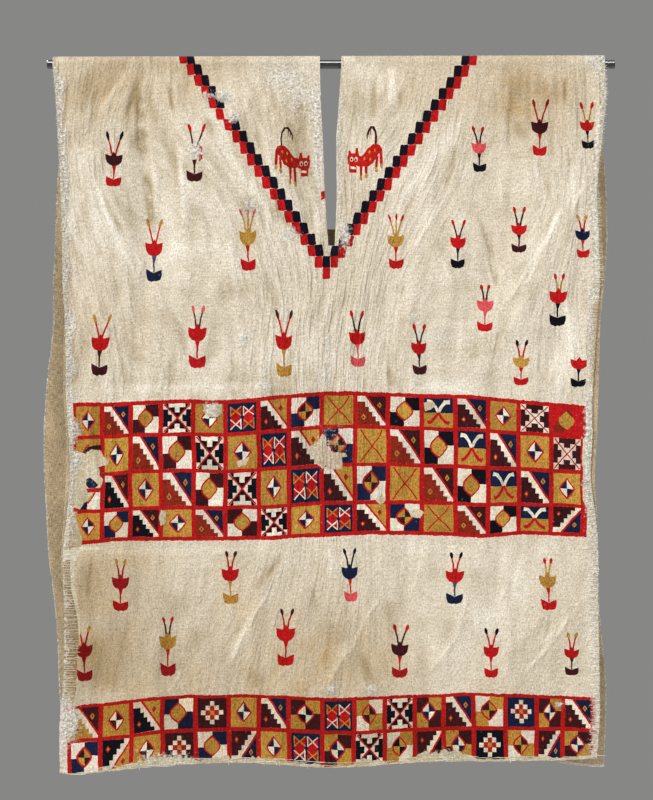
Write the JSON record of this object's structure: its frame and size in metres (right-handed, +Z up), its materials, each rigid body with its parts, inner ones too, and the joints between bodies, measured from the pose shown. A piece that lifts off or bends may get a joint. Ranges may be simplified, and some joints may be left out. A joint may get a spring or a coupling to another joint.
{
  "type": "hanging tapestry poncho",
  "caption": "Long lined tapestry poncho with a vertical neck slit and open sides, folded at the shoulders and hung over a straight round rod for display.",
  "frame": {"origin": "middle of the rod, on its axis", "axes": "+Z up along the hanging cloth, +X along the rod to the right as seen from the front, the front of the garment faces -Y"},
  "size_m": [0.7711, 0.0423, 0.9631],
  "materials": {
    "cream_web": "matte tapestry weave, cream with red, gold, navy and black motifs, worn at the edges",
    "tan_lining": "matte plain weave",
    "black_rod": "gloss"
  },
  "bodies": {
    "root": {"front_web": "cream_web", "front_lining": "tan_lining", "back_lining": "tan_lining", "back_web": "cream_web", "rod": "black_rod"}
  },
  "joints": []
}
